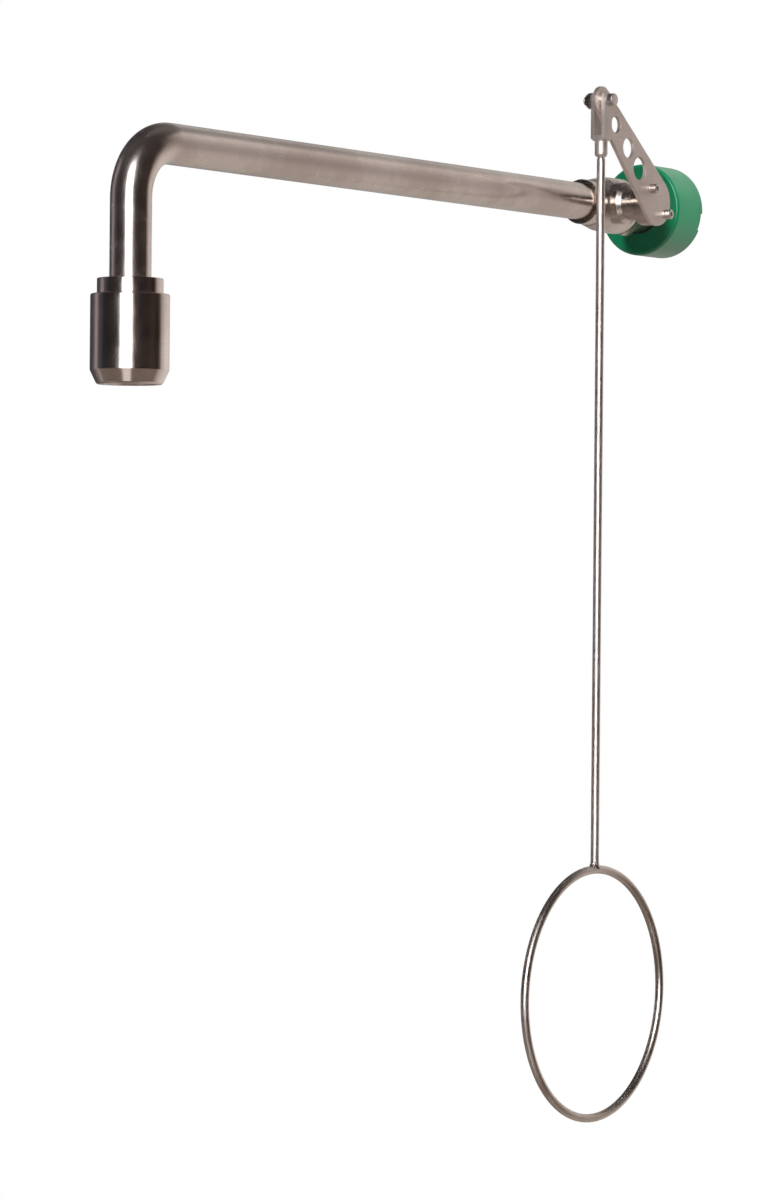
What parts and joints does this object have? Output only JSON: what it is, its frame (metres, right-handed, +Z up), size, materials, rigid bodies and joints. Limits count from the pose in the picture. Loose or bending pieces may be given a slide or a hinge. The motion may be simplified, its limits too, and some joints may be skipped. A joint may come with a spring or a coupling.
{
  "type": "emergency safety shower",
  "caption": "Wall-mounted emergency drench shower: quarter-turn ball valve opened by a lever, pull rod and ring, with a bent outlet pipe and a cylindrical shower head.",
  "frame": {"origin": "centre of the valve inlet's mouth, on the wall plane", "axes": "+Y into the wall along the inlet, +X to the side of the lever and pull rod, +Z up"},
  "size_m": [0.0923, 0.6654, 0.7417],
  "materials": {
    "cover_green": "moulded satin",
    "rubber_black": "matt",
    "polymer_white": "turned",
    "polymer_black": "moulded",
    "steel_satin": "satin ground stainless steel",
    "steel_turned": "fine turned and polished stainless steel",
    "steel_plate": "flat brushed stainless steel",
    "steel_drawn": "bright drawn stainless steel",
    "steel_fastener": "bright stainless steel"
  },
  "bodies": {
    "valve_frame": {"inlet_connector": "steel_satin", "valve_body": "steel_satin", "body_seal": "polymer_white", "inlet_seat": "polymer_white", "outlet_seat": "polymer_white", "thrust_washer": "polymer_white", "stem_bonnet": "steel_satin", "stem_bush": "polymer_white", "outlet_pipe": "steel_satin", "head_adapter": "steel_turned", "head_shell": "steel_turned", "head_gasket": "rubber_black", "strainer": "steel_drawn", "flow_regulator": "polymer_black", "spacer_sleeve": "polymer_white", "spray_insert": "polymer_black"},
    "cover": {"wall_cover": "cover_green", "cover_grip_ring": "rubber_black"},
    "lever": {"lever_plate": "steel_plate", "drive_hub": "steel_satin", "stem": "steel_turned", "ball": "steel_turned", "stem_orings": "rubber_black", "stop_pin": "steel_fastener", "hub_set_screw": "steel_fastener", "lever_screws": "steel_fastener", "lever_spring_washers": "steel_fastener"},
    "clevis_joint": {"clevis_pin": "steel_fastener", "clevis_nut": "steel_fastener", "clevis_washer": "steel_fastener", "clevis_spacers": "steel_fastener"},
    "pull_handle": {"clevis_fork": "steel_drawn", "pull_rod": "steel_drawn", "pull_ring": "steel_satin", "ring_weld": "steel_satin"}
  },
  "joints": [
    {"name": "lever_turn", "type": "hinge", "parent": "valve_frame", "child": "lever", "pos_m": [0, -0.0866, 0], "axis": [1, 0, 0], "range_deg": [0, 90]},
    {"name": "pin_turn", "type": "hinge", "parent": "lever", "child": "clevis_joint", "pos_m": [0.047, -0.16091, 0.06691], "axis": [1, 0, 0], "range_deg": [-90, 0]},
    {"name": "rod_swing", "type": "hinge", "parent": "clevis_joint", "child": "pull_handle", "pos_m": [0.047, -0.16091, 0.06691], "axis": [1, 0, 0], "range_deg": [-30, 6]},
    {"name": "cover_slide", "type": "slide", "parent": "valve_frame", "child": "cover", "axis": [0, -1, 0], "range_m": [0, 0.014]}
  ],
  "couplings": [
    {"joint": "pin_turn", "follows": "lever_turn", "ratio": -1}
  ]
}
